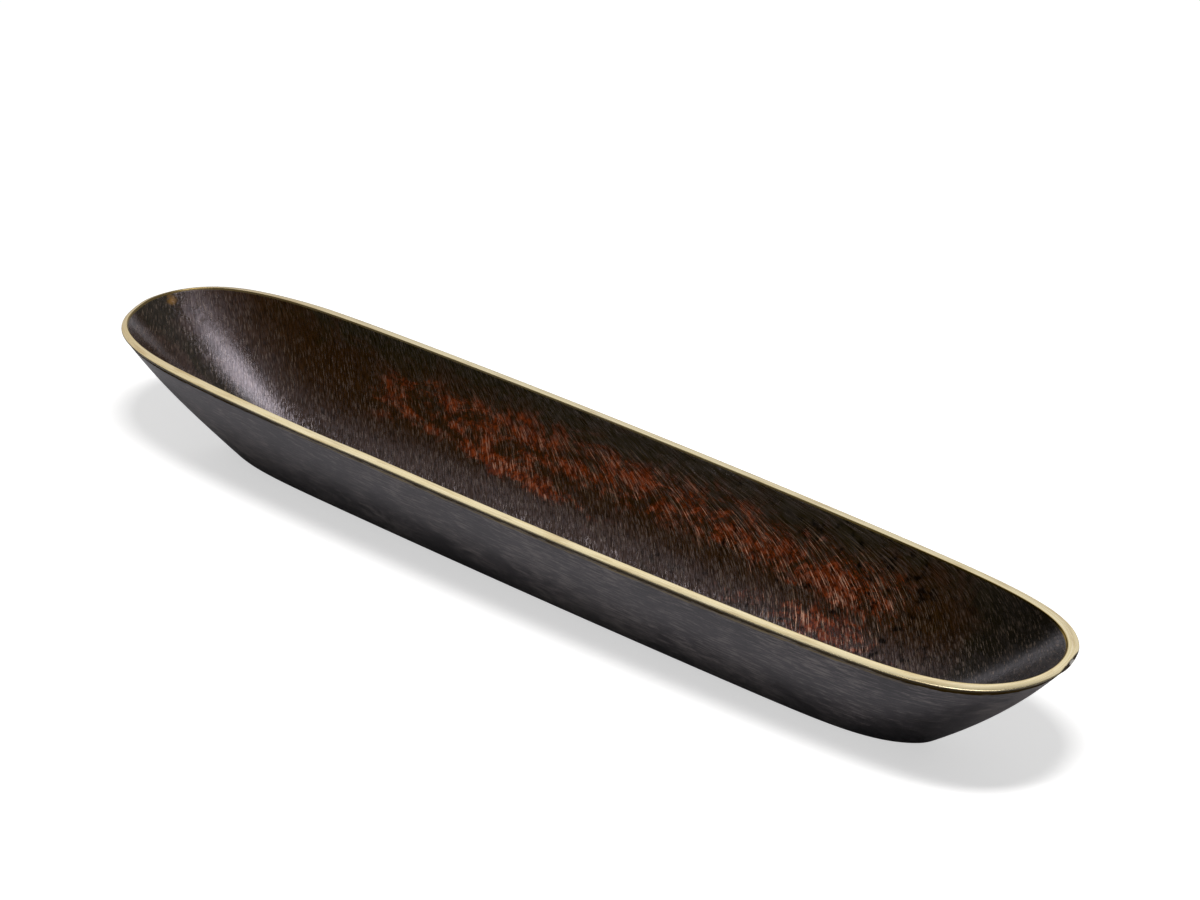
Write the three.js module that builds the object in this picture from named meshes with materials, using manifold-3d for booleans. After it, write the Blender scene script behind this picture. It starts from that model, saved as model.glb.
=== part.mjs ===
import * as THREE from "three";
import { mergeVertices } from "three/addons/utils/BufferGeometryUtils.js";
import Module from "manifold-3d";

// Pen rest: a long boat-shaped tray of cast brass, a polished band round its mouth, a felt pad under it.
// Millimetres. +X runs along the tray, +Z is up, and the origin is on the desk under the middle of the foot.

// Mouth of the tray, at the top of the band
const mouthLength = 300;
const mouthWidth = 59;
const trayHeight = 32.6;

// The sides bow: each stands this much closer to the middle line at the ends than at mid length
const mouthBow = 4.3;
// A higher number keeps the sides full for longer before they turn in to the round end
const mouthFullness = 11.5;
// 2 makes the end a true round, 1 brings it to a point
const mouthRoundness = 2;

// Flat foot
const footLength = 227;
const footWidth = 20.6;
const footBow = 1.4;
const footFullness = 12;
const footRoundness = 1.2;

// How far the outer walls swell past a straight line from the foot to the mouth, at half height
const sideSwell = 1.6;
const endSwell = 2.6;

// Wall at the mouth, floor over the foot, and the hollow between them
const wall = 2.45;
const floorThickness = 3.6;
// The level floor of the trough stops this far short of each end of the foot
const floorSetback = 33;
// 2 gives the trough a parabola for its section, a higher number a flatter floor and steeper sides
const troughFullness = 2.2;

// Band round the mouth: its height, and how far its top falls from the inner edge to the outer one
const bandHeight = 1.7;
const bandFall = 0.34;
const bandCrown = 0.12;

// Felt pad let into the foot
const padSideMargin = 3.8;
const padEndMargin = 13.5;
const padThickness = 1.4;
const padStandsProud = 0.4;
const padClearance = 0.3;

// Steps of the surfaces
const sideSteps = 48;
const outerSteps = 9;
const troughSteps = 14;
const padArcSteps = 12;

const footPlane = padStandsProud;
const bandSeat = trayHeight - bandHeight;
const bandOuterTop = trayHeight - bandFall;
const troughDepth = trayHeight - footPlane - floorThickness;
const floorHalfLength = footLength / 2 - floorSetback;

const mouthShape = {
  halfLength: mouthLength / 2,
  halfWidth: mouthWidth / 2,
  bow: mouthBow,
  fullness: mouthFullness,
  roundness: mouthRoundness,
};

const footShape = {
  halfLength: footLength / 2,
  halfWidth: footWidth / 2,
  bow: footBow,
  fullness: footFullness,
  roundness: footRoundness,
};

const innerMouthShape = {
  ...mouthShape,
  halfLength: mouthShape.halfLength - wall,
  halfWidth: mouthShape.halfWidth - wall,
};

// Stations along the tray as shares of its half length, from the right tip round to it again.
// Their cosine spacing puts them close together where the ends turn.
function stationsRoundTheTray() {
  const stations = [];
  for (let step = 0; step < 2 * sideSteps; step += 1) {
    const turn = (Math.PI * step) / sideSteps;
    stations.push({ along: Math.cos(turn), side: step < sideSteps ? 1 : -1 });
  }
  return stations;
}

const stations = stationsRoundTheTray();

// Half width of an outline at a station: the bowed side times the curve that closes the end
function halfWidthAt(shape, along) {
  const bowedSide = shape.halfWidth - shape.bow * along ** 2;
  const endCurve = (1 - Math.abs(along) ** shape.fullness) ** (1 / shape.roundness);
  return bowedSide * endCurve;
}

function outlineRing(shape, height) {
  return stations.map(({ along, side }) => {
    const across = side * halfWidthAt(shape, along);
    return new THREE.Vector3(shape.halfLength * along, across, height);
  });
}

// Outer outline at a height: every size goes from the foot's to the mouth's, and the walls swell between
function hullRing(height) {
  const rise = (height - footPlane) / (bandOuterTop - footPlane);
  const swell = 4 * rise * (1 - rise);
  const shape = {};
  for (const size of Object.keys(footShape)) {
    shape[size] = THREE.MathUtils.lerp(footShape[size], mouthShape[size], rise);
  }
  shape.halfLength += endSwell * swell;
  shape.halfWidth += sideSwell * swell;
  return outlineRing(shape, height);
}

// Ring of the trough: spread 1 is the inner edge of the mouth, and spread 0 the middle line of the floor.
// The floor falls below the mouth by the depth times (1 - spread ^ fullness).
function troughRing(spread) {
  const height = trayHeight - troughDepth * (1 - spread ** troughFullness);
  return stations.map(({ along, side }) => {
    const reach = THREE.MathUtils.lerp(floorHalfLength, innerMouthShape.halfLength, spread);
    const across = side * halfWidthAt(innerMouthShape, along) * spread;
    return new THREE.Vector3(reach * along, across, height);
  });
}

// Spread at which the trough passes the seat of the band
const seatSpread = (1 - bandHeight / troughDepth) ** (1 / troughFullness);

// Closed skin through rings of the same number of points. A loop joins its last ring to its first.
function skinThroughRings(rings, isLoop) {
  const positions = [];
  const corners = [];
  const around = rings[0].length;
  for (const ring of rings) {
    for (const point of ring) {
      positions.push(point.x, point.y, point.z);
    }
  }
  const lastRing = isLoop ? rings.length : rings.length - 1;
  for (let ring = 0; ring < lastRing; ring += 1) {
    const lower = ring * around;
    const upper = ((ring + 1) % rings.length) * around;
    for (let point = 0; point < around; point += 1) {
      const next = (point + 1) % around;
      corners.push(lower + point, lower + next, upper + next);
      corners.push(lower + point, upper + next, upper + point);
    }
  }
  const geometry = new THREE.BufferGeometry();
  geometry.setAttribute("position", new THREE.Float32BufferAttribute(positions, 3));
  geometry.setIndex(corners);
  return mergeVertices(geometry);
}

// Felt strip with round ends, as wide and as long as the foot allows
function padOutline(growth) {
  const halfWidth = footWidth / 2 - padSideMargin + growth;
  const arcCentre = footLength / 2 - padEndMargin + growth - halfWidth;
  const outline = new THREE.Shape();
  outline.absarc(arcCentre, 0, halfWidth, -Math.PI / 2, Math.PI / 2, false);
  outline.absarc(-arcCentre, 0, halfWidth, Math.PI / 2, (3 * Math.PI) / 2, false);
  return outline;
}

function padSolid(growth, bottom, top) {
  const settings = { depth: top - bottom, bevelEnabled: false, curveSegments: padArcSteps };
  const geometry = new THREE.ExtrudeGeometry(padOutline(growth), settings);
  geometry.translate(0, 0, bottom);
  return geometry;
}

const wasm = await Module();
wasm.setup();

function toSolid(geometry) {
  const bare = new THREE.BufferGeometry();
  bare.setAttribute("position", geometry.getAttribute("position"));
  bare.setIndex(geometry.getIndex());
  const merged = mergeVertices(bare);
  return new wasm.Manifold(
    new wasm.Mesh({
      numProp: 3,
      vertProperties: new Float32Array(merged.getAttribute("position").array),
      triVerts: new Uint32Array(merged.getIndex().array),
    }),
  );
}

function toGeometry(solid) {
  const mesh = solid.getMesh();
  const geometry = new THREE.BufferGeometry();
  geometry.setAttribute("position", new THREE.BufferAttribute(mesh.vertProperties, 3));
  geometry.setIndex(new THREE.BufferAttribute(mesh.triVerts, 1));
  return geometry;
}

// The casting: up the outside from the foot, over the seat of the band, and down into the trough
function trayBodyGeometry() {
  const rings = [];
  const footMiddle = outlineRing({ ...footShape, halfLength: floorHalfLength }, footPlane);
  rings.push(footMiddle.map((point) => point.setY(0)));
  for (let step = 0; step <= outerSteps; step += 1) {
    rings.push(hullRing(THREE.MathUtils.lerp(footPlane, bandSeat, step / outerSteps)));
  }
  for (let step = 0; step <= troughSteps; step += 1) {
    rings.push(troughRing(seatSpread * (1 - step / troughSteps)));
  }
  const casting = toSolid(skinThroughRings(rings, false));
  const recessTop = footPlane + padThickness - padStandsProud;
  const recess = toSolid(padSolid(padClearance, footPlane - padThickness, recessTop));
  return toGeometry(casting.subtract(recess));
}

// The band: flush with the casting inside and out, flat below, its top crowned and falling outwards
function rimBandGeometry() {
  const outerTop = hullRing(bandOuterTop);
  const innerTop = troughRing(1);
  const crownTop = outerTop.map((point, index) => {
    const middle = new THREE.Vector3().lerpVectors(point, innerTop[index], 0.5);
    return middle.setZ(middle.z + bandCrown);
  });
  const outerSeat = hullRing(bandSeat);
  const innerSeat = troughRing(seatSpread);
  return skinThroughRings([outerSeat, outerTop, crownTop, innerTop, innerSeat], true);
}

const castBrass = new THREE.MeshStandardMaterial({ color: 0x3e332c, roughness: 0.42, metalness: 0.8 });
const polishedBrass = new THREE.MeshStandardMaterial({ color: 0xdccfa6, roughness: 0.2, metalness: 1 });
const blackFelt = new THREE.MeshStandardMaterial({ color: 0x23211f, roughness: 0.95, metalness: 0 });

const penRest = new THREE.Group();

const trayBody = new THREE.Mesh(trayBodyGeometry(), castBrass);
trayBody.name = "tray_body";
penRest.add(trayBody);

const rimBand = new THREE.Mesh(rimBandGeometry(), polishedBrass);
rimBand.name = "rim_band";
penRest.add(rimBand);

const basePad = new THREE.Mesh(padSolid(0, 0, padThickness), blackFelt);
basePad.name = "base_pad";
penRest.add(basePad);

export default penRest;
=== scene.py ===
import math
from functools import partial

import bmesh
import bpy
import numpy as np
from mathutils import Matrix, Vector


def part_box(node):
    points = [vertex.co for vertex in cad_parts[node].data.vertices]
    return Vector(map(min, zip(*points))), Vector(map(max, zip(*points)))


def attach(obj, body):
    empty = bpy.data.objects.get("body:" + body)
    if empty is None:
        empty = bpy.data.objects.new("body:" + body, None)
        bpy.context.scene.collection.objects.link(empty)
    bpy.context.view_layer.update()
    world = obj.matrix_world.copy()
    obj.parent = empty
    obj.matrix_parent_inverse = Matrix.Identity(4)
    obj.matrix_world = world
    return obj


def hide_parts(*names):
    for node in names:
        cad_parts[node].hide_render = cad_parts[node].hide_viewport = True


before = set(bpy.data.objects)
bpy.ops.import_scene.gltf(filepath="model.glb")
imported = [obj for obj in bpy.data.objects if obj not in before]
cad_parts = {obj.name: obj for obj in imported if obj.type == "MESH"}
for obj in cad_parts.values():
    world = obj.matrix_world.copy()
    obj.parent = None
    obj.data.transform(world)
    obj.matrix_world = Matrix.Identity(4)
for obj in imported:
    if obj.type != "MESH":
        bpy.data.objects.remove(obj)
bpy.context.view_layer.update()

mm = 0.001
bandLow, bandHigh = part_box("rim_band")
bodyLow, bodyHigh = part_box("tray_body")
padLow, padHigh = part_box("base_pad")


# camera: stands in front of the tray's right end and looks down on it with a long lens

camera = {
    "azimuth": 42.03,       # degrees round from straight in front, towards the right end
    "elevation": 26.96,
    "distance": 1.252,
    "lens": 153.15,         # this and the sensor's width in mm, as Blender takes them
    "sensor": 36,
    "nearest": 0.05,        # what it can see begins and ends at these distances
    "farthest": 50,
    "aimRight": 7.04 * mm,  # how far the aim lies from the middle of the mouth, along the picture's axes
    "aimUp": 5.27 * mm,
}


def makeCamera():
    turn = math.radians(camera["azimuth"])
    tilt = math.radians(camera["elevation"])
    back = Vector((math.sin(turn) * math.cos(tilt), -math.cos(turn) * math.cos(tilt), math.sin(tilt)))
    right = Vector((math.cos(turn), math.sin(turn), 0))
    up = back.cross(right)
    mouthMiddle = Vector((0, 0, bandHigh[2]))
    aim = mouthMiddle + right * camera["aimRight"] + up * camera["aimUp"]
    data = bpy.data.cameras.new("camera")
    data.sensor_width = camera["sensor"]
    data.lens = camera["lens"]
    data.clip_start = camera["nearest"]
    data.clip_end = camera["farthest"]
    made = bpy.data.objects.new("camera", data)
    axes = Matrix((right, up, back)).transposed().to_4x4()
    made.matrix_world = Matrix.Translation(aim + back * camera["distance"]) @ axes
    bpy.context.scene.collection.objects.link(made)
    bpy.context.scene.camera = made


makeCamera()
print("camera placed")


# materials: one function adds a node, one turns a hex colour to linear

softEnds = {"interpolation_type": "SMOOTHSTEP"}     # for a range that eases in and out


def linear(hexColor):
    # sRGB hex to linear, by the sRGB curve
    values = [int(hexColor[i:i + 2], 16) / 255 for i in (1, 3, 5)]
    return tuple(v / 12.92 if v <= 0.04045 else ((v + 0.055) / 1.055) ** 2.4 for v in values) + (1.0,)


def addNode(tree, kind, links=None, stops=None, **settings):
    # settings name attributes. Links name input sockets, by name or number, and hold a value, an output or
    # a node, which stands for its first output in use. Stops are a colour ramp's places and colours
    node = tree.nodes.new("ShaderNode" + kind)
    for name, value in settings.items():
        setattr(node, name, value)
    for name, value in (links or {}).items():
        if isinstance(value, bpy.types.Node):
            value = next(output for output in value.outputs if output.enabled)
        if isinstance(value, bpy.types.NodeSocket):
            tree.links.new(value, node.inputs[name])
        else:
            node.inputs[name].default_value = value
    for index, (place, hexColor) in enumerate(stops or []):
        elements = node.color_ramp.elements
        element = elements[index] if index < 2 else elements.new(place)
        element.position = place
        element.color = linear(hexColor)
    return node


def newMaterial(name):
    made = bpy.data.materials.new(name)
    made.use_nodes = True
    made.node_tree.nodes.clear()
    return made, partial(addNode, made.node_tree)


# floor, backdrop and lamps

studio = {
    "floorHalf": 6.0,
    "floorColor": "#e6e5e4",
    "floorLift": 0.575,         # light that the camera alone sees on the floor, so that it runs out to white
    "roomLight": 0.003,         # the dark room in front
    "coveLight": 1.0,           # paper cove behind the tray, to the left
    "coveSide": (-0.68, 0.73, 0.0),
    "nearLight": 0.55,          # dimmer cove on the near side
    "nearSide": (0.68, -0.73, 0.0),
    "ceilingLight": 0.56,
    "frontLight": 0.2,          # the ceiling's part in front and to the right
    "lowLight": 0.13,           # what comes in low from the front
    "keyWatts": 9.5,            # small softbox that lights the tray and casts the shadow
    "keySize": (0.36, 0.18),
    "keyPlace": (0.30, -0.305, 1.12),
    "overheadWatts": 4.5,       # large softbox, of which only the reflection counts
    "overheadSize": (0.56, 0.58),
    "overheadPlace": (-0.07, 0.06, 1.20),
}


def floorMaterial():
    # matt paper, and the camera alone sees it lifted towards white
    made, add = newMaterial("pale paper floor")
    paper = add("BsdfDiffuse", {"Color": linear(studio["floorColor"])})
    path = add("LightPath")
    strength = add("Math", {0: path.outputs["Is Camera Ray"], 1: studio["floorLift"]}, operation="MULTIPLY")
    lift = add("Emission", {"Strength": strength})
    both = add("AddShader", {0: paper, 1: lift})
    add("OutputMaterial", {"Surface": both})
    return made


def makeWorld():
    # white to the camera. All else sees a dark room with a bright cove behind the tray, a pale ceiling,
    # some light low in front and a dimmer cove on the near side. Where each begins and ends is given along
    # the direction's x, y and z
    world = bpy.data.worlds.new("studio")
    bpy.context.scene.world = world
    world.use_nodes = True
    world.node_tree.nodes.clear()
    add = partial(addNode, world.node_tree)
    direction = add("TexCoord").outputs["Generated"]
    x, y, z = add("SeparateXYZ", {0: direction}).outputs
    towardsCove = add("VectorMath", {0: direction, 1: studio["coveSide"]}, operation="DOT_PRODUCT")
    behind = add("MapRange", {"Value": towardsCove, "From Min": 0.62, "From Max": 0.78}, **softEnds)
    cove = add("MapRange", {
        "Value": z, "From Min": 0.68, "From Max": 0.95,
        "To Min": studio["coveLight"] - studio["roomLight"], "To Max": 0.0,
    }, **softEnds)
    # the ceiling is brightest from 40 to 44 degrees up and on the left, and stops short of the front
    overTray = add("MapRange", {"Value": y, "From Min": -0.57, "From Max": -0.50}, **softEnds)
    rising = add("MapRange", {"Value": z, "From Min": 0.52, "From Max": 0.64}, **softEnds)
    falling = add("MapRange", {
        "Value": z, "From Min": 0.69, "From Max": 0.79,
        "To Min": studio["ceilingLight"], "To Max": studio["ceilingLight"] * 0.35,
    }, **softEnds)
    toLeft = add("MapRange", {
        "Value": x, "From Min": -0.45, "From Max": -0.15, "To Min": 1.0, "To Max": 0.45,
    }, **softEnds)
    banded = add("Math", {0: rising, 1: falling}, operation="MULTIPLY")
    ceiling = add("Math", {0: banded, 1: toLeft}, operation="MULTIPLY")
    inFront = add("MapRange", {
        "Value": y, "From Min": -0.65, "From Max": -0.45, "To Min": studio["lowLight"], "To Max": 0.0,
    })
    low = add("MapRange", {
        "Value": z, "From Min": 0.08, "From Max": 0.26, "To Min": 1.0, "To Max": 0.0,
    }, **softEnds)
    fromFront = add("Math", {0: inFront, 1: low, 2: studio["roomLight"]}, operation="MULTIPLY_ADD")
    above = add("Math", {0: overTray, 1: ceiling, 2: fromFront}, operation="MULTIPLY_ADD")
    # its part towards the front and the right is dimmer and lies higher up
    high = add("MapRange", {
        "Value": z, "From Min": 0.50, "From Max": 0.75, "To Max": studio["frontLight"],
    })
    toFront = add("MapRange", {
        "Value": y, "From Min": -0.30, "From Max": -0.08, "To Min": 1.0, "To Max": 0.0,
    })
    toRight = add("MapRange", {"Value": x, "From Min": -0.45, "From Max": -0.20})
    corner = add("Math", {0: toFront, 1: toRight}, operation="MULTIPLY")
    overhead = add("Math", {0: corner, 1: high, 2: above}, operation="MULTIPLY_ADD")
    # the cove is darker close to the table
    lowCove = add("MapRange", {"Value": z, "From Max": 0.22, "To Min": 0.45})
    lit = add("Math", {0: cove, 1: lowCove}, operation="MULTIPLY")
    farSide = add("Math", {0: behind, 1: lit, 2: overhead}, operation="MULTIPLY_ADD")
    # the band mirrors the near cove when it is seen from behind
    towardsNear = add("VectorMath", {0: direction, 1: studio["nearSide"]}, operation="DOT_PRODUCT")
    near = add("MapRange", {"Value": towardsNear, "From Min": 0.80, "From Max": 0.90}, **softEnds)
    raised = add("MapRange", {
        "Value": z, "From Min": 0.15, "From Max": 0.30, "To Max": studio["nearLight"],
    })
    room = add("Math", {0: near, 1: raised, 2: farSide}, operation="MULTIPLY_ADD")
    path = add("LightPath")
    light = add("Mix", {"Factor": path.outputs["Is Camera Ray"], 2: room, 3: 1.0})
    shade = add("Background", {"Strength": light})
    add("OutputWorld", {"Surface": shade})


def addSoftbox(name, watts, size, place):
    data = bpy.data.lights.new(name, "AREA")
    data.shape = "RECTANGLE"
    data.size, data.size_y = size
    data.energy = watts
    lamp = bpy.data.objects.new(name, data)
    lamp.location = place
    aim = Vector((0, 0, 0)) - Vector(place)
    lamp.rotation_mode = "QUATERNION"
    lamp.rotation_quaternion = aim.to_track_quat("-Z", "Y")
    bpy.context.scene.collection.objects.link(lamp)
    return lamp


def makeStudio():
    half = studio["floorHalf"]
    mesh = bpy.data.meshes.new("floor")
    corners = [(-half, -half, 0), (half, -half, 0), (half, half, 0), (-half, half, 0)]
    mesh.from_pydata(corners, [], [(0, 1, 2, 3)])
    mesh.materials.append(floorMaterial())
    floor = bpy.data.objects.new("floor", mesh)
    bpy.context.scene.collection.objects.link(floor)
    makeWorld()
    # the key alone lights and casts the shadow, and the wax mirrors the overhead softbox alone
    overhead = addSoftbox(
        "overhead softbox", studio["overheadWatts"], studio["overheadSize"], studio["overheadPlace"],
    )
    overhead.visible_diffuse = False
    key = addSoftbox("key softbox", studio["keyWatts"], studio["keySize"], studio["keyPlace"])
    key.visible_glossy = False
    bpy.context.scene.view_settings.view_transform = "Standard"


makeStudio()
print("studio made")


# shapes: grids of points from the tray's own formulas

tray = {
    "mouthBow": 4.3 * mm,      # the sides stand this much closer to the middle line at the ends
    "mouthFullness": 11.5,     # a higher number keeps the sides full for longer before the round end
    "mouthRoundness": 2.0,
    "footHalfLength": 113.5 * mm,
    "footHalfWidth": 10.3 * mm,
    "footBow": 1.4 * mm,
    "footFullness": 12.0,
    "footRoundness": 1.2,
    "sideSwell": 1.6 * mm,
    "endSwell": 2.6 * mm,
    "wall": 2.45 * mm,
    "floorThickness": 3.6 * mm,
    "floorSetback": 33 * mm,
    "troughFullness": 2.2,
    "bandFall": 0.34 * mm,
    "bandCrown": 0.05 * mm,
    "outerArris": 0.18 * mm,   # rounding of the band's outer edge
    "innerArris": 0.10 * mm,
    "footReachLeft": 5.5 * mm,
    "footSquareLeft": 3.5,     # added to the fullness, for a sharper corner of the foot at the left end
    "footYaw": 0.009,          # the foot stands this much askew under the mouth
    "filedLeft": 0.7 * mm,     # filed off the left end on the far side
    "filedFrom": 108 * mm,     # how far left of the middle that begins
    "filedOver": 24 * mm,      # and on what length it grows to the full amount
    "filedSide": 10 * mm,
    "thinLeft": 1.4 * mm,      # the wall is this much thinner at the left tip
    "thinFrom": 0.86,          # both as shares of the half length
    "thinOver": 0.12,
    "thinNear": 0.55 * mm,     # and this much on its near side
    "thinNearFrom": 0.70,
    "thinNearOver": 0.20,
    "thinNearSide": 12 * mm,
    "dipNear": 0.4 * mm,       # the mouth lies this much lower there
    "dipFrom": 40 * mm,
    "dipOver": 25 * mm,
    "dipSide": 8 * mm,
    "nickPlace": 149.3 * mm,   # a knock took the band's outer edge off near the right tip, along this line
    "nickMiddle": 3.25 * mm,
    "nickSlope": 0.283,
    "nickAcross": (-1 * mm, 1.5 * mm, 13.5 * mm, 1.5 * mm),
    "nickPress": 0.55,         # share of the overhang over that line that was pressed back to it
    "nickFall": 0.9,
    "footSoftening": 0.3 * mm,
    "softHeight": 1.4 * mm,
    "seamRounding": 0.08 * mm,
    "seamHeight": 0.15 * mm,   # on the casting it begins this far under the seam
    "bandSeamHeight": 0.2 * mm,
    "padClearance": 0.3 * mm,
    "padRounding": 0.3 * mm,
    "handWork": 0.10 * mm,     # how far filing by hand leaves the walls from true
    "handWaves": (0.090, 0.052, 0.031, 0.023, 0.014),
    "handWaveFall": 0.7,       # shorter waves are lower by this power of their length
    "wallStretch": 0.54,       # way up the curved wall beyond its width, as a share of that width
    "stepsAlong": 300,
}

mouth = {
    "halfLength": bandHigh[0],
    "halfWidth": bandHigh[1],
    "bow": tray["mouthBow"],
    "fullness": tray["mouthFullness"],
    "roundness": tray["mouthRoundness"],
}
foot = {
    "halfLength": tray["footHalfLength"],
    "halfWidth": tray["footHalfWidth"],
    "bow": tray["footBow"],
    "fullness": tray["footFullness"],
    "roundness": tray["footRoundness"],
}
innerMouth = dict(
    mouth,
    halfLength=mouth["halfLength"] - tray["wall"],
    halfWidth=mouth["halfWidth"] - tray["wall"],
)
footPlane = bodyLow[2]
bandSeat = bandLow[2]
mouthTop = bandHigh[2]
outerTop = mouthTop - tray["bandFall"]
troughDepth = mouthTop - footPlane - tray["floorThickness"]
floorHalfLength = tray["footHalfLength"] - tray["floorSetback"]

# stations round the tray, from the right tip by the far side to the left tip and back, closed on itself
turn = np.linspace(0, 2 * np.pi, 2 * tray["stepsAlong"] + 1)
stationAlong = np.cos(turn)
stationSide = np.where(turn < np.pi, 1.0, -1.0)


def smoothStep(value):
    held = np.clip(value, 0, 1)
    return held * held * (3 - 2 * held)


def between(value, first, fadeIn, last, fadeOut):
    # 1 from first to last, but for a soft start and a soft end of the given lengths
    return smoothStep((value - first) / fadeIn) * smoothStep((last - value) / fadeOut)


def halfWidthAt(outline, along):
    # (half width - bow * along^2) * (1 - |along|^fullness)^(1 / roundness)
    bowed = outline["halfWidth"] - outline["bow"] * along ** 2
    closing = np.clip(1 - np.abs(along) ** outline["fullness"], 0, 1) ** (1 / outline["roundness"])
    return bowed * closing


def handWork(x, y, z, seed):
    # sum of slow waves with seeded directions and phases, about -1 to 1
    random = np.random.default_rng(seed)
    total = np.zeros(np.broadcast(x, y, z).shape)
    waves = tray["handWaves"]
    for wavelength in waves:
        directions = random.normal(size=(3, 3))
        directions /= np.linalg.norm(directions, axis=1)[:, None]
        strength = (wavelength / waves[0]) ** tray["handWaveFall"]
        for way in directions:
            phase = random.uniform(0, 2 * np.pi)
            travelled = way[0] * x + way[1] * y + way[2] * z
            total += np.sin(2 * np.pi * travelled / wavelength + phase) * strength
    return total / len(waves)


def hullSurface(heights, inset):
    # every size goes from the foot's to the mouth's with the height, and the walls swell between them
    rise = ((heights - footPlane) / (outerTop - footPlane))[:, None]
    swell = 4 * rise * (1 - rise)
    outline = {size: foot[size] + (mouth[size] - foot[size]) * rise for size in foot}
    # the left end of the foot reaches further than the right one and is squarer
    toLeft = smoothStep(-stationAlong)
    outline["halfLength"] = outline["halfLength"] + tray["footReachLeft"] * (1 - rise) * toLeft
    outline["fullness"] = outline["fullness"] + tray["footSquareLeft"] * (1 - rise) ** 6 * toLeft
    outline["halfLength"] = outline["halfLength"] + tray["endSwell"] * swell - inset[:, None]
    outline["halfWidth"] = outline["halfWidth"] + tray["sideSwell"] * swell - inset[:, None]
    x = outline["halfLength"] * stationAlong
    y = stationSide * halfWidthAt(outline, stationAlong) - tray["footYaw"] * x * (1 - rise)
    # the left end was filed away a little on the far side
    filed = smoothStep((-x - tray["filedFrom"]) / tray["filedOver"])
    filed = filed * smoothStep((y + tray["filedSide"]) / (2 * tray["filedSide"]))
    y = y - tray["filedLeft"] * filed * rise
    z = heights[:, None] - nearLeftDip(x, y, heights)
    return np.stack([x, y, z], axis=-1)


def nearLeftDip(x, y, heights):
    # how far the mouth dips on the near side towards the left end, less and less towards the foot
    rise = ((heights - footPlane) / (outerTop - footPlane))[:, None]
    toLeft = smoothStep((-x - tray["dipFrom"]) / tray["dipOver"])
    return tray["dipNear"] * toLeft * smoothStep(-y / tray["dipSide"]) * rise ** 4


def troughSurface(spread):
    # spread is 1 at the inner edge of the mouth and 0 on the middle line of the floor, and the trough lies
    # depth * (1 - spread^fullness) under the mouth
    heights = mouthTop - troughDepth * (1 - spread ** tray["troughFullness"])
    reach = floorHalfLength + (innerMouth["halfLength"] - floorHalfLength) * spread
    thinned = tray["thinLeft"] * smoothStep((-stationAlong - tray["thinFrom"]) / tray["thinOver"])
    x = reach[:, None] * stationAlong - thinned * spread[:, None] ** 2
    y = stationSide * halfWidthAt(innerMouth, stationAlong) * spread[:, None]
    nearLeft = smoothStep((-stationAlong - tray["thinNearFrom"]) / tray["thinNearOver"])
    nearLeft = nearLeft * smoothStep(-y / tray["thinNearSide"])
    y = y - tray["thinNear"] * nearLeft * spread[:, None] ** 2
    z = heights[:, None] - nearLeftDip(x, y, heights)
    return np.stack([x, y, z], axis=-1)


def gridObject(name, points, maps, materials, materialRows=None, closedRows=False):
    # points is rows by columns by 3, and the last column lies on the first; maps holds a UV map per name
    rows, columns = points.shape[:2]
    lastRow = rows if closedRows else rows - 1
    row, column = np.meshgrid(np.arange(lastRow), np.arange(columns - 1), indexing="ij")
    nextRow = (row + 1) % rows
    corners = np.stack([
        row * columns + column,
        row * columns + column + 1,
        nextRow * columns + column + 1,
        nextRow * columns + column,
    ], axis=-1).reshape(-1, 4)
    mesh = bpy.data.meshes.new(name)
    mesh.vertices.add(rows * columns)
    mesh.vertices.foreach_set("co", points.astype(np.float32).ravel())
    mesh.loops.add(corners.size)
    mesh.loops.foreach_set("vertex_index", corners.astype(np.int32).ravel())
    mesh.polygons.add(len(corners))
    mesh.polygons.foreach_set("loop_start", np.arange(0, corners.size, 4, dtype=np.int32))
    mesh.polygons.foreach_set("use_smooth", np.ones(len(corners), dtype=bool))
    if materialRows is not None:
        mesh.polygons.foreach_set("material_index", np.repeat(materialRows, columns - 1).astype(np.int32))
    for mapName, values in maps.items():
        layer = mesh.uv_layers.new(name=mapName)
        layer.data.foreach_set("uv", values.reshape(-1, 2)[corners.ravel()].astype(np.float32).ravel())
    mesh.update(calc_edges=True)
    for material in materials:
        mesh.materials.append(material)
    made = bpy.data.objects.new(name, mesh)
    bpy.context.scene.collection.objects.link(made)
    closeSeams(mesh)
    return made


def closeSeams(mesh):
    # joins the closing column and the folded end rows, and turns every face outwards
    samePlace = 0.002 * mm
    shortestEdge = 0.001 * mm
    sharpAngle = math.radians(40)
    work = bmesh.new()
    work.from_mesh(mesh)
    bmesh.ops.remove_doubles(work, verts=work.verts, dist=samePlace)
    bmesh.ops.dissolve_degenerate(work, edges=work.edges, dist=shortestEdge)
    bmesh.ops.recalc_face_normals(work, faces=work.faces)
    work.to_mesh(mesh)
    work.free()
    mesh.set_sharp_from_angle(angle=sharpAngle)


def acrossTrough(points):
    # distance from the middle line over the curved wall, kept smooth where the ends close
    rise = (points[..., 2] - (mouthTop - troughDepth)) / troughDepth
    return points[..., 1] * (1 + tray["wallStretch"] * rise)


brush = {
    "askew": 0.7,
    "lean": 3.2e5,             # how much more askew high on the wall, with s^5 in metres
    "leanPlace": 30 * mm,
    "leanReach": 65 * mm,
}


def strokeMap(points):
    # the brush went down the far wall to the right, most askew high on the wall right of the middle: along a
    # stroke x + askew * s + lean * bell * s^5 stays the same, with bell = exp(-((x - place) / reach)^2)
    x = points[..., 0]
    across = acrossTrough(points)
    bell = np.exp(-((x - brush["leanPlace"]) / brush["leanReach"]) ** 2)
    return np.stack([across, x + brush["askew"] * across + brush["lean"] * bell * across ** 5], axis=-1)


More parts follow.
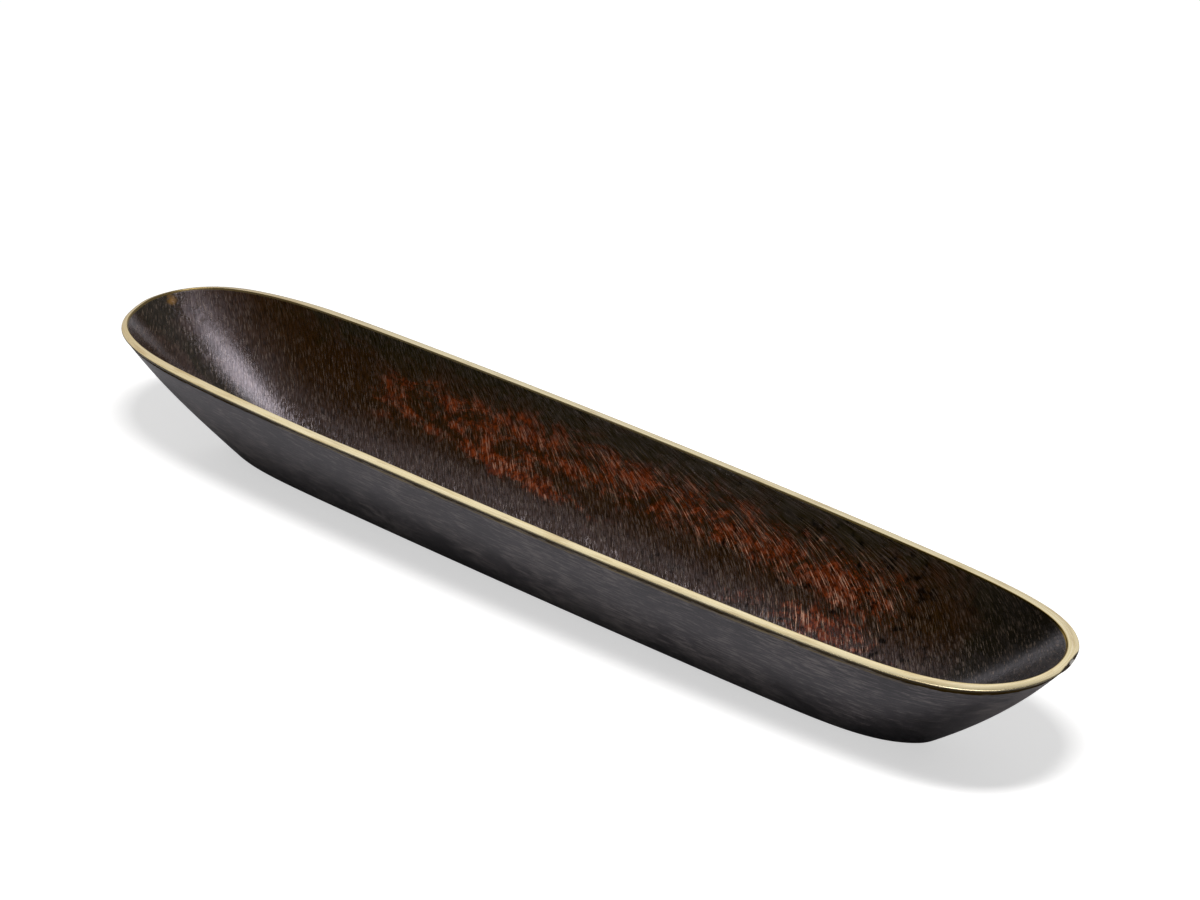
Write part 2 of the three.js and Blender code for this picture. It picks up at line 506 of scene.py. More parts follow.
def lengthMap(points):
    # the first value runs round the tray in metres, the second is the height
    steps = np.linalg.norm(np.diff(points, axis=1), axis=-1)
    travelled = np.concatenate([np.zeros((len(points), 1)), np.cumsum(steps, axis=1)], axis=1)
    return np.stack([travelled, points[..., 2]], axis=-1)


wear = {
    # all in mm: x along the tray, and s from the floor's middle line up the wall
    "ribbonHeight": 29,
    "ribbonHalfWidth": 7.5,
    "ribbonSink": 1.1,         # how far its middle line has sunk at sinkReach from its highest place
    "sinkPlace": 2,
    "sinkReach": 45,
    "ribbonEnds": (-105, 30, 108, 28),
    "lowLeft": (2.6, -36, 32, 4.2),    # strength, x, and half lengths along the tray and up the wall
    "lowLeftHeight": 18,
    "lowLeftClimb": 18,        # it climbs by 1 for every 18 to the left
    "lowRight": (2.3, 67, 27, 6),
    "lowRightHeight": 13.5,
    "glowHeight": 20,
    "glowHalfWidth": 17,
    "glowEnds": (-165, 30, 128, 30),
}


def wearMap(points):
    # first value: a ribbon of worn patina along each wall, 1 on its middle line and 0 at its edges, as
    # 1 - ((s - middle) / half width)^2. Second value: the brown glow round it, by the same formula
    x = points[..., 0] / mm
    across = np.abs(acrossTrough(points)) / mm
    middle = wear["ribbonHeight"] - wear["ribbonSink"] * ((x - wear["sinkPlace"]) / wear["sinkReach"]) ** 2
    ribbon = 1 - ((across - middle) / wear["ribbonHalfWidth"]) ** 2
    ribbon = (np.clip(ribbon, -1, 1) + 1) * between(x, *wear["ribbonEnds"]) - 1
    # two more worn places low on the wall: strength * exp(-(x away / along)^2 - (s away / up)^2)
    strength, place, along, up = wear["lowLeft"]
    climbing = across - wear["lowLeftHeight"] + x / wear["lowLeftClimb"]
    lowLeft = strength * np.exp(-((x - place) / along) ** 2 - (climbing / up) ** 2) - 1
    strength, place, along, up = wear["lowRight"]
    level = across - wear["lowRightHeight"]
    lowRight = strength * np.exp(-((x - place) / along) ** 2 - (level / up) ** 2) - 1
    ribbon = np.maximum(ribbon, np.maximum(lowLeft, lowRight))
    glow = 1 - ((across - wear["glowHeight"]) / wear["glowHalfWidth"]) ** 2
    glow = (np.clip(glow, -1, 1) + 1) * between(x, *wear["glowEnds"]) - 1
    return np.stack([ribbon, glow], axis=-1)


strip = {
    "height": 1.9 * mm,        # at the ends
    "lower": 0.85 * mm,        # so much less between these ends, given in mm
    "lowerEnds": (-100, 50, 140, 30),
    "bulge": 0.25 * mm,
    "bulgePlace": 62,
    "bulgeReach": 18,
}


def edgeMap(points):
    # first value: how far a point lies under the dark strip below the mouth, whose height is
    # height - lower * (1 away from the ends) + bulge * exp(-((x - place) / reach)^2). Second value: how
    # much of the golden line is left under it, none at the ends
    x = points[..., 0] / mm
    full = between(x, *strip["lowerEnds"])
    bell = np.exp(-((x - strip["bulgePlace"]) / strip["bulgeReach"]) ** 2)
    height = strip["height"] - strip["lower"] * full + strip["bulge"] * bell
    return np.stack([outerTop - points[..., 2] - height, smoothStep(full * 2 - 0.4)], axis=-1)


def nickDepth(points):
    # how far a point lies outside the straight line of the knock
    x = points[..., 0]
    y = points[..., 1]
    hit = between(y, *tray["nickAcross"])
    beyond = x + tray["nickSlope"] * (y - tray["nickMiddle"]) - tray["nickPlace"]
    return np.clip(beyond * hit, 0, None)


# patinated brass: a chemical brown-black oxide under wax. It is dark and satin, its sheen takes the lamp's
# colour, and where the brush wore it through it shows red-brown cuprite and fine bristle lines of bare
# metal, painted pale with their glint in the colour

trough = {
    "olive": "#161203",
    "oliveBrushed": "#30270b",
    "umber": "#1f1102",
    "umberBrushed": "#402606",
    "redBrown": "#431903",
    "redBright": "#913f14",
    "blackBrown": "#100d07",
    "black": "#020201",
    # bare metal of the bristle lines, painted pale with their glint
    "bareBrassAndGlint": "#7d6a58",
    "bareCopperAndGlint": "#f3bb9c",
    "amber": "#9a6f26",
    "speck": "#cfc8bd",
    "sheen": "#f6efff",        # the oxide film turns the sheen a little violet
    "oxideIor": 2.0,           # cuprite's own is near 2.7, and the wax on it dims its reflections
    "spotPlace": (-0.1462, 0.0046, 0.0316),
}


def addSpecks(add, place, color, spacing, radius, share):
    # pale specks of dust: in cells of the given spacing, the given share holds one
    cells = add("TexVoronoi", {"Vector": place, "Scale": 1 / spacing})
    chosen = add("SeparateColor", {0: cells.outputs["Color"]})
    isChosen = add("Math", {0: chosen, 1: 1 - share}, operation="GREATER_THAN")
    edge = radius / spacing
    inside = add("MapRange", {
        "Value": cells.outputs["Distance"], "From Min": 0.6 * edge, "From Max": edge,
        "To Min": 0.85, "To Max": 0.0,
    })
    shown = add("Math", {0: isChosen, 1: inside}, operation="MULTIPLY")
    return add("Mix", {"Factor": shown, 6: color, 7: linear(trough["speck"])}, data_type="RGBA")


def addBristles(add, strokes, width, length):
    # strokes one bristle wide: the wall is ruled into lanes, each lane into lengths that start at a random
    # place, and each length has its own luck between 0 and 1 and a shape that is 1 along its middle line
    ruled = add("SeparateXYZ", {0: strokes})
    lane = add("Math", {0: ruled.outputs["Y"], 1: 1 / width}, operation="MULTIPLY")
    laneNumber = add("Math", {0: lane}, operation="FLOOR")
    start = add("TexWhiteNoise", {"W": laneNumber}, noise_dimensions="1D")
    reach = add("Math", {0: ruled.outputs["X"], 1: 1 / length, 2: start}, operation="MULTIPLY_ADD")
    reachNumber = add("Math", {0: reach}, operation="FLOOR")
    number = add("CombineXYZ", {0: laneNumber, 1: reachNumber})
    luck = add("TexWhiteNoise", {"Vector": number}, noise_dimensions="2D")
    toSide = add("Math", {0: lane, 1: 0.5}, operation="PINGPONG")
    toEnd = add("Math", {0: reach, 1: 0.5}, operation="PINGPONG")
    side = add("MapRange", {"Value": toSide, "From Max": 0.35})
    end = add("MapRange", {"Value": toEnd, "From Max": 0.3})
    shape = add("Math", {0: side, 1: end}, operation="MULTIPLY")
    return luck, shape


def troughMaterial():
    made, add = newMaterial("cast brass, brown patina, brushed and waxed")
    place = add("TexCoord").outputs["Object"]
    strokes = add("UVMap", uv_map="strokes")
    brushWear = add("SeparateXYZ", {0: add("UVMap", uv_map="wear")})
    along = add("SeparateXYZ", {0: place}).outputs["X"]
    # the brush wandered by a millimetre every 20 mm
    sway = add("TexNoise", {"Vector": place, "Scale": 50.0, "Detail": 1.0}).outputs["Color"]
    swayed = add("VectorMath", {0: sway, 1: (0.0, 0.003, 0.0), 2: strokes}, operation="MULTIPLY_ADD")
    # streaks 2.5 mm long and 0.4 mm wide
    finePlace = add("Mapping", {"Vector": swayed, "Scale": (400, 2700, 1)})
    fine = add("TexNoise", {
        "Vector": finePlace, "Scale": 1.0, "Detail": 2.0, "Roughness": 0.6,
    }, noise_dimensions="2D")
    fineShare = add("MapRange", {"Value": fine, "From Min": 0.32, "From Max": 0.68})
    hairLuck, hairShape = addBristles(add, swayed, 0.28 * mm, 1.6 * mm)
    longLuck, longShape = addBristles(add, swayed, 0.33 * mm, 3.4 * mm)
    # towards both ends the wall was rubbed smooth again
    fromMiddle = add("Math", {0: along}, operation="ABSOLUTE")
    smoothed = add("MapRange", {"Value": fromMiddle, "From Min": 0.090, "From Max": 0.120}, **softEnds)
    # clouds of wear about 12 mm long and 7 mm wide, broken up down to 1 mm and drawn out by the brush
    cloudPlace = add("Mapping", {"Vector": place, "Scale": (80, 140, 140)})
    cloud = add("TexNoise", {
        "Vector": cloudPlace, "Scale": 1.0, "Detail": 8.0, "Roughness": 0.71, "Distortion": 1.0,
    })
    brushed = add("MapRange", {
        "Value": along, "From Min": -0.05, "From Max": 0.03, "To Min": 0.15, "To Max": 0.55,
    })
    drawn = add("Math", {0: fine, 1: 0.5}, operation="SUBTRACT")
    drawnCloud = add("Math", {0: drawn, 1: brushed, 2: cloud}, operation="MULTIPLY_ADD")
    worn = add("Math", {0: brushWear.outputs["X"], 1: 0.17, 2: drawnCloud}, operation="MULTIPLY_ADD")
    patch = add("MapRange", {"Value": worn, "From Min": 0.55, "From Max": 0.76}, **softEnds)
    glowing = add("Math", {0: brushWear.outputs["Y"], 1: 0.25, 2: cloud}, operation="MULTIPLY_ADD")
    warm = add("MapRange", {"Value": glowing, "From Min": 0.40, "From Max": 0.68}, **softEnds)
    # blotches of 2 mm inside the clouds
    blotch = add("TexNoise", {
        "Vector": place, "Scale": 600.0, "Detail": 5.0, "Roughness": 0.8, "Distortion": 0.4,
    })
    blotched = add("MapRange", {"Value": blotch, "From Min": 0.44, "From Max": 0.62})
    olive = add("Mix", {
        "Factor": fineShare, 6: linear(trough["olive"]), 7: linear(trough["oliveBrushed"]),
    }, data_type="RGBA")
    umber = add("Mix", {
        "Factor": fineShare, 6: linear(trough["umber"]), 7: linear(trough["umberBrushed"]),
    }, data_type="RGBA")
    ground = add("Mix", {"Factor": warm, 6: olive, 7: umber}, data_type="RGBA")
    red = add("Mix", {
        "Factor": blotched, 6: linear(trough["redBrown"]), 7: linear(trough["redBright"]),
    }, data_type="RGBA")
    oxide = add("Mix", {"Factor": patch, 6: ground, 7: red}, data_type="RGBA")
    # the right end is nearly black
    blackened = add("MapRange", {
        "Value": along, "From Min": 0.095, "From Max": 0.128, "To Max": 0.8,
    }, **softEnds)
    darkened = add("Mix", {
        "Factor": blackened, 6: oxide, 7: linear(trough["blackBrown"]),
    }, data_type="RGBA")
    # black pits of 1 to 2 mm, most of them in the right half of the trough
    pitNoise = add("TexNoise", {"Vector": place, "Scale": 400.0, "Detail": 3.0, "Roughness": 0.55})
    pitShare = add("MapRange", {
        "Value": along, "From Min": -0.04, "From Max": 0.09, "To Min": -0.04, "To Max": 0.11,
    })
    pitLevel = add("Math", {0: pitShare, 1: pitNoise}, operation="ADD")
    pitDepth = add("MapRange", {"Value": smoothed, "To Min": 0.85, "To Max": 0.1})
    pit = add("MapRange", {"Value": pitLevel, "From Min": 0.64, "From Max": 0.76, "To Max": pitDepth})
    pitted = add("Mix", {"Factor": pit, 6: darkened, 7: linear(trough["black"])}, data_type="RGBA")
    # short faint strokes everywhere, and long ones that are bright in the right part of the ribbon. All
    # are bare metal with a painted glint in their pale colour
    upWall = add("SeparateXYZ", {0: strokes}).outputs["X"]
    hairZone = add("MapRange", {
        "Value": upWall, "From Min": 0.018, "From Max": 0.030, "To Min": 0.8, "To Max": 0.4,
    })
    hair = add("MapRange", {"Value": hairLuck, "From Min": 0.74, "To Max": hairZone})
    hairStroke = add("Math", {0: hair, 1: hairShape}, operation="MULTIPLY")
    inRibbon = add("MapRange", {
        "Value": brushWear.outputs["X"], "From Min": -1.0, "From Max": 0.3, "To Min": 0.12,
    })
    toRight = add("MapRange", {"Value": along, "From Min": -0.06, "From Max": 0.03, "To Min": 0.3})
    longZone = add("Math", {0: inRibbon, 1: toRight}, operation="MULTIPLY")
    longLevel = add("MapRange", {"Value": longLuck, "From Min": 0.84, "From Max": 0.96})
    longHere = add("Math", {0: longLevel, 1: longZone}, operation="MULTIPLY")
    longStroke = add("Math", {0: longHere, 1: longShape}, operation="MULTIPLY")
    baredAndGlinting = add("Math", {0: hairStroke, 1: longStroke}, operation="MAXIMUM")
    # painted highlight: the strokes take a pale colour for their bare metal and its glint
    bareAndGlint = add("Mix", {
        "Factor": patch, 6: linear(trough["bareBrassAndGlint"]), 7: linear(trough["bareCopperAndGlint"]),
    }, data_type="RGBA")
    brightened = add("Mix", {"Factor": baredAndGlinting, 6: pitted, 7: bareAndGlint}, data_type="RGBA")
    # a spot rubbed golden under the left tip of the mouth
    fromSpot = add("VectorMath", {0: place, 1: trough["spotPlace"]}, operation="DISTANCE")
    spotEdge = add("Math", {0: blotch, 1: 0.003, 2: fromSpot}, operation="MULTIPLY_ADD")
    spot = add("MapRange", {
        "Value": spotEdge, "From Min": 0.0020, "From Max": 0.0034, "To Min": 0.9, "To Max": 0.0,
    })
    rubbed = add("Mix", {"Factor": spot, 6: brightened, 7: linear(trough["amber"])}, data_type="RGBA")
    color = addSpecks(add, place, rubbed, 11 * mm, 0.17 * mm, 0.12)
    rough = add("MapRange", {
        "Value": cloud, "From Min": 0.3, "From Max": 0.7, "To Min": 0.22, "To Max": 0.32,
    })
    hairDip = add("Math", {0: hairLuck, 1: hairShape}, operation="MULTIPLY")
    height = add("Math", {0: hairDip, 1: 0.7, 2: fine}, operation="MULTIPLY_ADD")
    # the wax is thick on the strokes, thin between them, and gone from the pits and the worn patches
    thinWax = add("MapRange", {
        "Value": upWall, "From Min": 0.016, "From Max": 0.026, "To Min": 0.24, "To Max": 0.0,
    })
    brushedWax = add("MapRange", {"Value": height, "From Min": 0.48, "From Max": 0.88, "To Min": thinWax})
    rubbedWax = add("MapRange", {
        "Value": cloud, "From Min": 0.3, "From Max": 0.7, "To Min": 0.30, "To Max": 0.66,
    })
    rubbedShare = add("Math", {0: smoothed, 1: 0.5}, operation="MULTIPLY")
    waxed = add("Mix", {"Factor": rubbedShare, 2: brushedWax, 3: rubbedWax})
    waxless = add("Math", {0: patch, 1: 0.5, 2: pit}, operation="MULTIPLY_ADD")
    waxLeft = add("MapRange", {"Value": waxless, "To Min": 1.0, "To Max": 0.15})
    gloss = add("Math", {0: waxed, 1: waxLeft}, operation="MULTIPLY")
    # under the strokes the wall is uneven from the hand scraping, in dimples of 6 mm
    dimples = add("TexNoise", {"Vector": place, "Scale": 160.0, "Detail": 3.0})
    uneven = add("Bump", {"Height": dimples, "Strength": 0.5, "Distance": 0.0002})
    strokeDepth = add("MapRange", {"Value": smoothed, "To Min": 0.7, "To Max": 0.4})
    bump = add("Bump", {"Height": height, "Strength": strokeDepth, "Distance": 0.00004, "Normal": uneven})
    shade = add("BsdfPrincipled", {
        "Base Color": color, "Metallic": 0.15, "Roughness": rough, "IOR": trough["oxideIor"],
        "Specular IOR Level": gloss, "Specular Tint": linear(trough["sheen"]), "Normal": bump,
    })
    add("OutputMaterial", {"Surface": shade})
    return made


outside = {
    "slateDark": "#161415",
    "slate": "#363235",
    "rubbed": "#6a6462",
    "strip": "#33260c",
    "goldenLine": "#7d6a38",
}


def outsideMaterial():
    # the same patina filed lengthwise and waxed. The dark strip under the mouth ends in a rubbed golden line
    made, add = newMaterial("cast brass, slate patina, filed and waxed")
    place = add("TexCoord").outputs["Object"]
    around = add("UVMap", uv_map="around")
    edge = add("SeparateXYZ", {0: add("UVMap", uv_map="edge")})
    # file marks 5 mm long and 0.5 mm wide, over mottles from 25 mm down
    grainPlace = add("Mapping", {"Vector": around, "Scale": (170, 1900, 1)})
    grain = add("TexNoise", {
        "Vector": grainPlace, "Scale": 1.0, "Detail": 4.0, "Roughness": 0.75, "Distortion": 0.2,
    }, noise_dimensions="2D")
    mottle = add("TexNoise", {"Vector": place, "Scale": 45.0, "Detail": 6.0, "Roughness": 0.7})
    mixed = add("Math", {0: mottle, 1: 0.6, 2: grain}, operation="MULTIPLY_ADD")
    slate = add("MapRange", {"Value": mixed, "From Min": 0.68, "From Max": 0.94})
    slateColor = add("ValToRGB", {"Fac": slate}, stops=[
        (0.0, outside["slateDark"]), (0.55, outside["slate"]), (1.0, outside["rubbed"]),
    ])
    # the strip's edge wanders by 0.2 mm
    wander = add("Math", {0: grain, 1: 0.0015, 2: edge.outputs["X"]}, operation="MULTIPLY_ADD")
    inStrip = add("MapRange", {
        "Value": wander, "From Min": 0.00065, "From Max": 0.00085, "To Min": 1.0, "To Max": 0.0,
    })
    toLine = add("Math", {0: wander, 1: 0.0012}, operation="SUBTRACT")
    apart = add("Math", {0: toLine}, operation="ABSOLUTE")
    near = add("MapRange", {
        "Value": apart, "From Min": 0.0001, "From Max": 0.0005, "To Min": 1.0, "To Max": 0.0,
    })
    broken = add("MapRange", {
        "Value": mottle, "From Min": 0.35, "From Max": 0.60, "To Min": 0.25, "To Max": 0.9,
    })
    left = add("Math", {0: edge.outputs["Y"], 1: broken}, operation="MULTIPLY")
    golden = add("Math", {0: near, 1: left}, operation="MULTIPLY")
    stripped = add("Mix", {
        "Factor": inStrip, 6: slateColor, 7: linear(outside["strip"]),
    }, data_type="RGBA")
    lined = add("Mix", {
        "Factor": golden, 6: stripped, 7: linear(outside["goldenLine"]),
    }, data_type="RGBA")
    color = addSpecks(add, place, lined, 9 * mm, 0.2 * mm, 0.10)
    gloss = add("MapRange", {"Value": inStrip, "To Min": 0.5, "To Max": 0.0})
    metal = add("MapRange", {"Value": inStrip, "To Min": 0.2, "To Max": 0.0})
    rough = add("MapRange", {
        "Value": mixed, "From Min": 0.6, "From Max": 1.0, "To Min": 0.28, "To Max": 0.46,
    })
    bump = add("Bump", {"Height": mixed, "Strength": 0.6, "Distance": 0.00005})
    shade = add("BsdfPrincipled", {
        "Base Color": color, "Metallic": metal, "Roughness": rough, "Specular IOR Level": gloss,
        "Specular Tint": linear(trough["sheen"]), "Normal": bump,
    })
    add("OutputMaterial", {"Surface": shade})
    return made


waxedTrough = troughMaterial()
waxedOutside = outsideMaterial()


def recessOutline():
    # strip with round ends, the pad's clearance wider than the pad all round: its half width is w up to the
    # half circles and sqrt(w^2 - past^2) over them, where past is how far x reaches beyond their centres
    halfLength = padHigh[0] + tray["padClearance"]
    halfWidth = padHigh[1] + tray["padClearance"]
    x = halfLength * stationAlong
    past = np.clip(np.abs(x) - (halfLength - halfWidth), 0, halfWidth)
    y = stationSide * np.sqrt(halfWidth ** 2 - past ** 2)
    return np.stack([x, y, np.full_like(x, footPlane)], axis=-1)


def makeCasting():
    softHeight = tray["softHeight"]
    seamHeight = tray["seamHeight"]
    nearFoot = footPlane + softHeight * np.linspace(0, 1, 8)
    above = np.linspace(footPlane + softHeight, bandSeat - seamHeight, 30)[1:]
    seam = bandSeat - seamHeight * np.cos(np.linspace(0, np.pi / 2, 4))[1:]
    heights = np.concatenate([nearFoot, above, seam])
    inset = tray["footSoftening"] * np.clip(1 - (heights - footPlane) / softHeight, 0, 1) ** 2
    inset += tray["seamRounding"] * np.clip((heights - bandSeat) / seamHeight + 1, 0, 1) ** 2
    wallRows = hullSurface(heights, inset)
    # the waves of the filing fade out at foot and band, and at the tips, where first and last column meet
    hold = between(wallRows[..., 2], footPlane, 4 * mm, bandSeat, 7 * mm)
    waves = handWork(*np.moveaxis(wallRows, -1, 0), seed=11) * hold * tray["handWork"]
    wallRows[..., 1] += np.clip(wallRows[..., 1] / (4 * mm), -1, 1) * waves
    # the pad's recess goes up into the foot: roof closed on its middle line, then its wall, then its edge
    recessEdge = recessOutline()[None]
    roofEdge = recessEdge + np.array([0, 0, padHigh[2] - footPlane])
    roofMiddle = roofEdge * np.array([1, 0, 1])
    seatSpread = (1 - (mouthTop - bandSeat) / troughDepth) ** (1 / tray["troughFullness"])
    spread = seatSpread * np.sin(np.linspace(np.pi / 2, 0, 60))
    troughRows = troughSurface(spread)
    hold = smoothStep((bandSeat - troughRows[..., 2]) / (6 * mm))
    troughRows[..., 2] += handWork(*np.moveaxis(troughRows, -1, 0), seed=23) * hold * tray["handWork"]
    # the last row runs along the middle line and back, so both ways get the same heights
    troughRows[-1, :, 2] = troughRows[-1, :, 2] * 0.5 + troughRows[-1, ::-1, 2] * 0.5
    points = np.concatenate([roofMiddle, roofEdge, recessEdge, wallRows, troughRows])
    isTrough = np.arange(len(points) - 1) >= len(points) - len(troughRows)
    made = gridObject("tray_casting", points, {
        "strokes": strokeMap(points),
        "wear": wearMap(points),
        "around": lengthMap(points),
        "edge": edgeMap(points),
    }, [waxedOutside, waxedTrough], materialRows=isTrough)
    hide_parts("tray_body")
    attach(made, "root")
    return made


# polished brass, filed and drawn lengthwise over fine paper: pale gold, nearly a mirror, with fine lines

band = {
    "deep": "#ebd9a8",
    "pale": "#f6e8c4",
    "tarnish": "#b3925a",
    "olive": "#a8882f",
    "knock": "#33281c",
    # solder in the knock, painted pale grey with its sheen
    "solderSheen": "#d8d3cc",
    "solderPlace": (0.1483, 0.0070, 0.0317),
    "brightRows": 4,           # rows of faces below the top on the outer side that take the band's material too
}


def bandMaterial():
    made, add = newMaterial("brass strip, filed and polished")
    place = add("TexCoord").outputs["Object"]
    along = add("SeparateXYZ", {0: place}).outputs["X"]
    around = add("UVMap", uv_map="around")
    rim = add("SeparateXYZ", {0: add("UVMap", uv_map="rim")})
    linePlace = add("Mapping", {"Vector": around, "Scale": (60, 5000, 1)})
    lines = add("TexNoise", {"Vector": linePlace, "Scale": 1.0, "Detail": 2.0}, noise_dimensions="2D")
    bright = add("ValToRGB", {"Fac": lines}, stops=[(0.3, band["deep"]), (0.7, band["pale"])])
    # tarnish comes back in clouds of 12 mm by 1 mm, and over the whole left tip
    cloudPlace = add("Mapping", {"Vector": around, "Scale": (80, 700, 1)})
    cloud = add("TexNoise", {
        "Vector": cloudPlace, "Scale": 1.0, "Detail": 4.0, "Roughness": 0.6,
    }, noise_dimensions="2D")
    clouded = add("MapRange", {"Value": cloud, "From Min": 0.50, "From Max": 0.76, "To Max": 0.50})
    leftTip = add("MapRange", {
        "Value": along, "From Min": -0.142, "From Max": -0.070, "To Min": 0.40, "To Max": 0.0,
    })
    dulled = add("Math", {0: clouded, 1: leftTip}, operation="ADD", use_clamp=True)
    tarnished = add("Mix", {"Factor": dulled, 6: bright, 7: linear(band["tarnish"])}, data_type="RGBA")
    # a thin olive line along the inner edge, clearest at the right end
    edgeLine = add("MapRange", {
        "Value": rim.outputs["X"], "From Min": 0.00005, "From Max": 0.00035, "To Min": 1.0, "To Max": 0.0,
    })
    toRight = add("MapRange", {"Value": along, "From Min": 0.02, "From Max": 0.10, "To Min": 0.5})
    lined = add("Math", {0: edgeLine, 1: toRight}, operation="MULTIPLY")
    edged = add("Mix", {"Factor": lined, 6: tarnished, 7: linear(band["olive"])}, data_type="RGBA")
    # below the outer edge, and below the inner one but for the right end, the metal is left dark
    overEdge = add("MapRange", {"Value": rim.outputs["X"], "From Min": 0.00246, "From Max": 0.00262})
    underInner = add("MapRange", {
        "Value": rim.outputs["X"], "From Min": -0.00012, "From Max": 0.0, "To Min": 1.0, "To Max": 0.0,
    })
    awayFromRight = add("MapRange", {
        "Value": along, "From Min": 0.05, "From Max": 0.09, "To Min": 0.8, "To Max": 0.0,
    })
    innerDark = add("Math", {0: underInner, 1: awayFromRight}, operation="MULTIPLY")
    dark = add("Math", {0: overEdge, 1: innerDark}, operation="MAXIMUM")
    darkEdged = add("Mix", {"Factor": dark, 6: edged, 7: linear(outside["strip"])}, data_type="RGBA")
    # the knock laid open a dark face with one grey streak where the solder shows, painted pale with its
    # sheen
    hit = add("MapRange", {"Value": rim.outputs["Y"], "From Min": 0.00001, "From Max": 0.00008})
    knocked = add("Mix", {"Factor": hit, 6: darkEdged, 7: linear(band["knock"])}, data_type="RGBA")
    offSolder = add("VectorMath", {0: place, 1: band["solderPlace"]}, operation="SUBTRACT")
    stretched = add("VectorMath", {0: offSolder, 1: (1.0, 0.32, 1.0)}, operation="MULTIPLY")
    solderAway = add("VectorMath", {0: stretched}, operation="LENGTH")
    solderSheen = add("MapRange", {
        "Value": solderAway, "From Min": 0.0004, "From Max": 0.0007, "To Min": 0.9, "To Max": 0.0,
    })
    solderSheenHere = add("Math", {0: solderSheen, 1: hit}, operation="MULTIPLY")
    color = add("Mix", {"Factor": solderSheenHere, 6: knocked, 7: linear(band["solderSheen"])}, data_type="RGBA")
    bump = add("Bump", {"Height": lines, "Strength": 0.15, "Distance": 0.00001})
    oxidised = add("Math", {0: dark, 1: hit}, operation="MAXIMUM")
    metal = add("MapRange", {"Value": oxidised, "To Min": 1.0, "To Max": 0.0})
    gloss = add("MapRange", {"Value": oxidised, "To Min": 0.5, "To Max": 0.05})
    shade = add("BsdfPrincipled", {
        "Base Color": color, "Metallic": metal, "Roughness": 0.24, "Specular IOR Level": gloss,
        "Normal": bump,
    })
    add("OutputMaterial", {"Surface": shade})
    return made


def makeBand():
    wall = tray["wall"]
    outerRound = tray["outerArris"]
    innerRound = tray["innerArris"]
    # across the top from the outer edge to the inner one, close together where the edges round over
    across = wall * (1 - np.cos(np.linspace(0, np.pi, 25))) / 2
    share = across / wall
    outerDrop = outerRound * (1 - np.sqrt(1 - np.clip(1 - across / outerRound, 0, 1) ** 2))
    innerDrop = innerRound * (1 - np.sqrt(1 - np.clip(1 - (wall - across) / innerRound, 0, 1) ** 2))
    outerEdge = hullSurface(np.array([outerTop]), np.zeros(1))
    innerEdge = troughSurface(np.ones(1))
    topRows = outerEdge + (innerEdge - outerEdge) * share[:, None, None]
    topRows[..., 2] += (tray["bandCrown"] * 4 * share * (1 - share) - outerDrop - innerDrop)[:, None]
    sideHeights = np.linspace(bandSeat, outerTop - outerRound, 8)[:-1]
    overSeam = np.clip(1 - (sideHeights - bandSeat) / tray["bandSeamHeight"], 0, 1)
    sideInset = tray["seamRounding"] * overSeam ** 2
    sideRows = hullSurface(sideHeights, sideInset)
    innerHeights = np.linspace(mouthTop - innerRound, bandSeat, 6)[1:]
    innerSpread = (1 - (mouthTop - innerHeights) / troughDepth) ** (1 / tray["troughFullness"])
    innerRows = troughSurface(innerSpread)
    points = np.concatenate([sideRows, topRows, innerRows])
    # distance over the band's section, measured on the column at the middle of the far side
    steps = np.diff(points[:, tray["stepsAlong"] // 2], axis=0)
    crossing = np.concatenate([[0.0], np.cumsum(np.linalg.norm(steps, axis=-1))])
    aroundMap = lengthMap(points)
    aroundMap[..., 1] = crossing[:, None]
    # the rim map holds the distance from the band's inner edge and the depth of the knock
    knock = nickDepth(points)
    fromInnerEdge = crossing[len(sideRows) + len(topRows) - 1] - crossing
    rimMap = np.stack([np.broadcast_to(fromInnerEdge[:, None], knock.shape), knock], axis=-1)
    pressed = knock * np.clip((points[..., 2] - bandSeat) / (outerTop - bandSeat), 0, 1)
    points[..., 0] -= tray["nickPress"] * pressed
    points[..., 1] -= tray["nickPress"] * tray["nickSlope"] * pressed
    points[..., 2] -= tray["nickFall"] * pressed
    # the band's material goes a little way down the outer side; the inner side takes the trough's
    firstBright = len(sideRows) - band["brightRows"]
    firstInner = len(sideRows) + len(topRows)
    materialRows = np.ones(len(points), dtype=int)
    materialRows[firstBright:firstInner] = 0
    materialRows[firstInner:-1] = 2
    made = gridObject("polished_band", points, {
        "strokes": strokeMap(points),
        "wear": wearMap(points),
        "around": aroundMap,
        "edge": edgeMap(points),
        "rim": rimMap,
    }, [bandMaterial(), waxedOutside, waxedTrough], materialRows=materialRows, closedRows=True)
    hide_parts("rim_band")
    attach(made, "root")
    return made


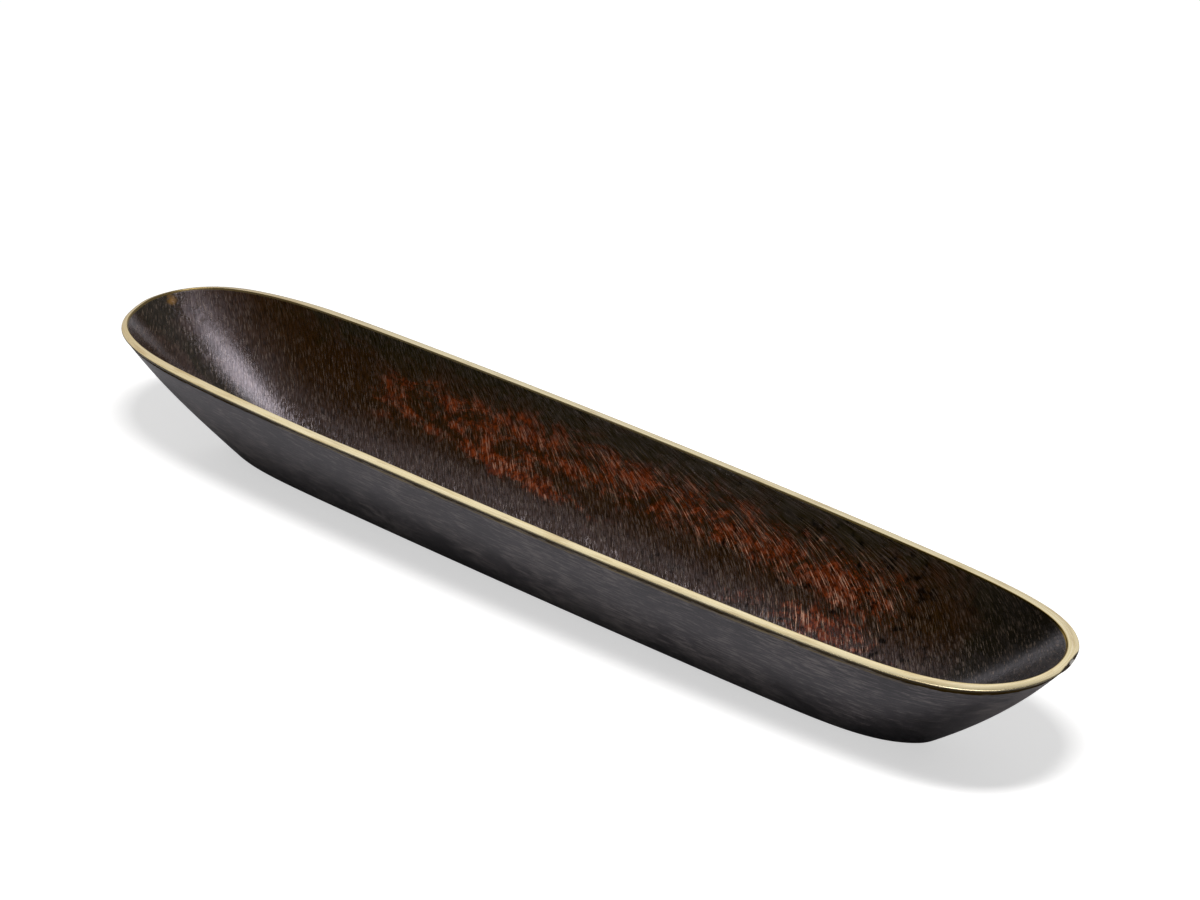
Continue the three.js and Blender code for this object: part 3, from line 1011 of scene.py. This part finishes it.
# pressed wool felt: black, matt, with a short nap

felt = {
    "dark": "#161514",
    "pale": "#3a3734",
}


def feltMaterial():
    made, add = newMaterial("pressed wool felt, black")
    place = add("TexCoord").outputs["Object"]
    nap = add("TexNoise", {"Vector": place, "Scale": 2200.0, "Detail": 4.0, "Roughness": 0.7})
    color = add("ValToRGB", {"Fac": nap}, stops=[(0.3, felt["dark"]), (0.75, felt["pale"])])
    bump = add("Bump", {"Height": nap, "Strength": 0.8, "Distance": 0.0002})
    shade = add("BsdfPrincipled", {
        "Base Color": color, "Roughness": 0.95, "Sheen Weight": 0.25, "Normal": bump,
    })
    add("OutputMaterial", {"Surface": shade})
    return made


def makePad():
    halfLength = padHigh[0]
    halfWidth = padHigh[1]
    rounding = tray["padRounding"]
    # outline of a strip with round ends: the middle run shifts the half circles apart
    turnRound = np.linspace(0, 2 * np.pi, 161)
    centre = np.where(np.cos(turnRound) >= 0, 1.0, -1.0) * (halfLength - halfWidth)
    outlineX = centre + halfWidth * np.cos(turnRound)
    outlineY = halfWidth * np.sin(turnRound)
    # the rows run from the middle of the underside out, round both edges and over the top
    bend = np.linspace(0, np.pi / 2, 6)
    shrink = np.concatenate([
        [halfWidth], rounding * (1 - np.sin(bend)), [0.0], rounding * (1 - np.cos(bend)),
    ])
    heights = np.concatenate([
        [padLow[2]], padLow[2] + rounding * (1 - np.cos(bend)), [padHigh[2] - rounding],
        padHigh[2] - rounding * (1 - np.sin(bend)),
    ])
    scale = (halfWidth - shrink) / halfWidth
    x = centre + (outlineX - centre) * scale[:, None]
    y = outlineY * scale[:, None]
    z = np.broadcast_to(heights[:, None], x.shape)
    points = np.stack([x, y, z], axis=-1)
    cap = points[-1:].copy()
    cap[..., 0] = centre
    cap[..., 1] = 0
    points = np.concatenate([points, cap])
    made = gridObject("felt_pad", points, {"around": lengthMap(points)}, [feltMaterial()])
    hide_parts("base_pad")
    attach(made, "root")
    return made


makeCasting()
print("casting made")
makeBand()
print("band made")
makePad()
print("pad made")
